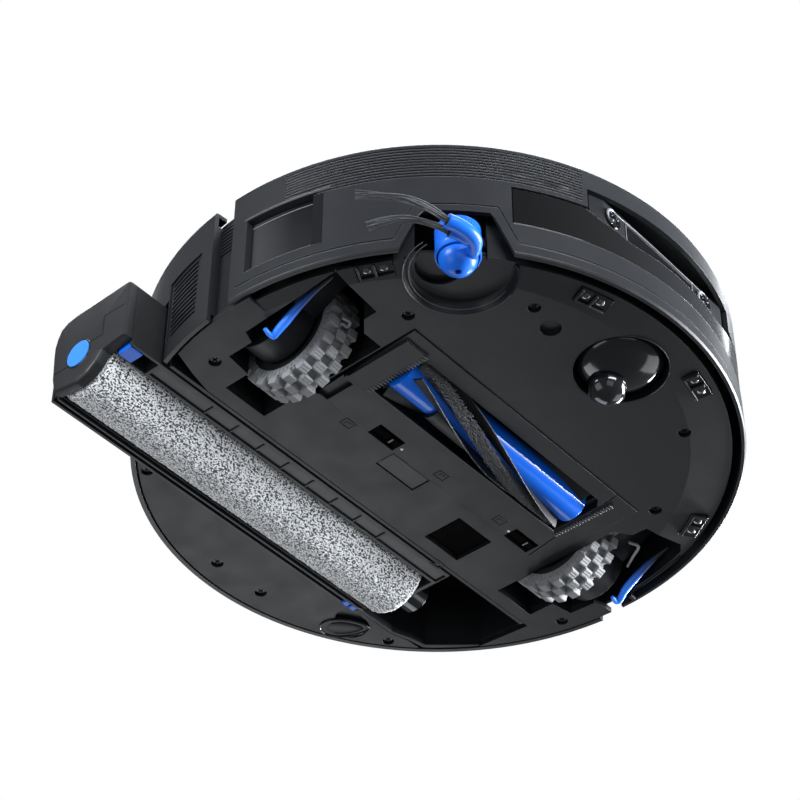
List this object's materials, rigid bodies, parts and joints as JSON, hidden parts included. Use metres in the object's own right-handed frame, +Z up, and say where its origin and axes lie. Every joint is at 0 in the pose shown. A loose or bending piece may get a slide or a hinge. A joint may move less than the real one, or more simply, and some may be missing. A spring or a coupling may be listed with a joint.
{
  "type": "robot vacuum",
  "caption": "Low round robot vacuum with a roller mop pushed out at one side, a side brush, a main brush, driven wheels and a caster.",
  "frame": {"origin": "on the floor under the centre of the round body", "axes": "+Z up, -Y the robot's front, -X the robot's right, where the mop slides out"},
  "size_m": [0.372, 0.353, 0.0986],
  "materials": {
    "base_plastic": "fine textured black",
    "shell_plastic": "satin dark grey",
    "gloss_black": "polished black",
    "mop_plastic": "satin charcoal",
    "blue_plastic": "bright blue",
    "blue_core": "deep blue",
    "light_blue": "light blue disc",
    "tyre_rubber": "grey ribbed rubber",
    "fin_rubber": "black rubber and bristle fins",
    "plush": "grey plush pile",
    "bristle": "grey nylon bristle",
    "lens_glass": "dark coated lens",
    "steel": "turned steel",
    "inner_plastic": "moulded inner part",
    "battery_wrap": "shrink-wrapped cells",
    "board": "solder-masked board",
    "tank_plastic": "smoky tank plastic",
    "filter_media": "pleated filter"
  },
  "bodies": {
    "chassis": {"base_plate": "base_plastic", "side_brush_dish": "base_plastic", "wheel_housing_right": "base_plastic", "wheel_housing_left": "base_plastic", "cliff_sensors": "gloss_black", "base_screws": "steel", "rear_bottom_cover": "base_plastic", "drain_plug": "fin_rubber", "rear_shell": "shell_plastic", "vent_grille": "shell_plastic", "top_cover": "shell_plastic", "mid_frame": "inner_plastic", "pivot_pins": "steel", "brush_housing": "base_plastic", "brush_motor": "steel", "caster_socket": "base_plastic", "mop_bay_frame": "base_plastic", "battery_pack": "battery_wrap", "main_board": "board", "suction_fan": "inner_plastic", "dustbin": "tank_plastic", "dust_filter": "filter_media", "clean_water_tank": "tank_plastic", "waste_water_tank": "tank_plastic", "water_pump": "inner_plastic"},
    "bumper": {"bumper_shell": "shell_plastic", "bumper_band": "gloss_black", "sensor_bar": "shell_plastic", "sensor_glass": "gloss_black", "camera_lenses": "lens_glass", "side_window": "gloss_black"},
    "lid": {"lid": "shell_plastic"},
    "power_button": {"power_button": "shell_plastic"},
    "brush_cover": {"brush_cover": "base_plastic"},
    "cover_latch_right": {"cover_latch_right": "base_plastic"},
    "cover_latch_left": {"cover_latch_left": "base_plastic"},
    "main_brush": {"brush_core": "blue_core", "brush_fins": "fin_rubber"},
    "side_brush_arm": {"side_brush_arm": "base_plastic", "side_brush_sleeve": "blue_plastic"},
    "side_brush": {"side_brush_hub": "blue_plastic", "side_brush_bristles": "bristle"},
    "wheel_arm_right": {"wheel_arm_right": "base_plastic"},
    "wheel_arm_left": {"wheel_arm_left": "base_plastic"},
    "wheel_right": {"wheel_hub_right": "inner_plastic", "tyre_right": "tyre_rubber"},
    "wheel_left": {"wheel_hub_left": "inner_plastic", "tyre_left": "tyre_rubber"},
    "climb_lever_right": {"climb_lever_right": "blue_plastic"},
    "climb_lever_left": {"climb_lever_left": "blue_plastic"},
    "caster_fork": {"caster_fork": "gloss_black"},
    "caster_wheel": {"caster_wheel": "fin_rubber"},
    "mop_carriage": {"mop_housing": "mop_plastic", "mop_end_cap": "mop_plastic", "mop_motor": "steel"},
    "mop_button": {"mop_button": "light_blue"},
    "roller_latch": {"roller_latch": "blue_plastic"},
    "mop_roller": {"roller_core": "inner_plastic", "roller_sleeve": "plush", "roller_coupling": "inner_plastic"}
  },
  "joints": [
    {"name": "bumper_press", "type": "slide", "parent": "chassis", "child": "bumper", "axis": [0, 1, 0], "range_m": [0, 0.004], "stiffness_N_per_m": 900, "springref_m": -0.002},
    {"name": "lid_lift", "type": "slide", "parent": "chassis", "child": "lid", "axis": [0, 0, 1], "range_m": [0, 0.08]},
    {"name": "power_button_press", "type": "slide", "parent": "chassis", "child": "power_button", "axis": [0, 0, -1], "range_m": [0, 0.0012], "stiffness_N_per_m": 300, "springref_m": -0.001},
    {"name": "brush_cover_release", "type": "slide", "parent": "chassis", "child": "brush_cover", "axis": [0, 0, -1], "range_m": [0, 0.03]},
    {"name": "cover_latch_right_slide", "type": "slide", "parent": "brush_cover", "child": "cover_latch_right", "axis": [0, -1, 0], "range_m": [0, 0.0022], "stiffness_N_per_m": 150, "springref_m": -0.001},
    {"name": "cover_latch_left_slide", "type": "slide", "parent": "brush_cover", "child": "cover_latch_left", "axis": [0, -1, 0], "range_m": [0, 0.0022], "stiffness_N_per_m": 150, "springref_m": -0.001},
    {"name": "main_brush_spin", "type": "hinge", "parent": "chassis", "child": "main_brush", "pos_m": [0, -0.036, 0.019], "axis": [1, 0, 0], "continuous": true},
    {"name": "side_brush_swing", "type": "hinge", "parent": "chassis", "child": "side_brush_arm", "pos_m": [-0.086, -0.118, 0.03], "axis": [0, 0, 1], "range_deg": [-24, 0]},
    {"name": "side_brush_spin", "type": "hinge", "parent": "side_brush_arm", "child": "side_brush", "pos_m": [-0.124, -0.118, 0.02], "axis": [0, 0, 1], "continuous": true},
    {"name": "wheel_arm_right_swing", "type": "hinge", "parent": "chassis", "child": "wheel_arm_right", "pos_m": [-0.1375, -0.046, 0.05], "axis": [1, 0, 0], "range_deg": [-22, 0], "stiffness_Nm_per_rad": 0.6, "springref_deg": -40.11},
    {"name": "wheel_right_spin", "type": "hinge", "parent": "wheel_arm_right", "child": "wheel_right", "pos_m": [-0.1155, 0.002, 0.035], "axis": [1, 0, 0], "continuous": true},
    {"name": "climb_lever_right_swing", "type": "hinge", "parent": "chassis", "child": "climb_lever_right", "pos_m": [-0.1492, -0.05, 0.032], "axis": [1, 0, 0], "range_deg": [-12, 0]},
    {"name": "wheel_arm_left_swing", "type": "hinge", "parent": "chassis", "child": "wheel_arm_left", "pos_m": [0.1435, -0.046, 0.05], "axis": [1, 0, 0], "range_deg": [-22, 0], "stiffness_Nm_per_rad": 0.6, "springref_deg": -40.11},
    {"name": "wheel_left_spin", "type": "hinge", "parent": "wheel_arm_left", "child": "wheel_left", "pos_m": [0.1215, 0.002, 0.035], "axis": [1, 0, 0], "continuous": true},
    {"name": "climb_lever_left_swing", "type": "hinge", "parent": "chassis", "child": "climb_lever_left", "pos_m": [0.1552, -0.05, 0.032], "axis": [1, 0, 0], "range_deg": [-12, 0]},
    {"name": "caster_swivel", "type": "hinge", "parent": "chassis", "child": "caster_fork", "pos_m": [0, -0.131, 0.04], "axis": [0, 0, 1], "continuous": true},
    {"name": "caster_wheel_spin", "type": "hinge", "parent": "caster_fork", "child": "caster_wheel", "pos_m": [0.00817, -0.12364, 0.012], "axis": [-0.6691, 0.7431, 0], "continuous": true},
    {"name": "mop_extend", "type": "slide", "parent": "chassis", "child": "mop_carriage", "axis": [1, 0, 0], "range_m": [0, 0.034]},
    {"name": "mop_button_press", "type": "slide", "parent": "mop_carriage", "child": "mop_button", "axis": [1, 0, 0], "range_m": [0, 0.0018], "stiffness_N_per_m": 300, "springref_m": -0.001},
    {"name": "roller_latch_slide", "type": "slide", "parent": "mop_carriage", "child": "roller_latch", "axis": [1, 0, 0], "range_m": [0, 0.003], "stiffness_N_per_m": 200, "springref_m": -0.001},
    {"name": "mop_roller_spin", "type": "hinge", "parent": "mop_carriage", "child": "mop_roller", "pos_m": [0, 0.0948, 0.024], "axis": [1, 0, 0], "continuous": true}
  ]
}
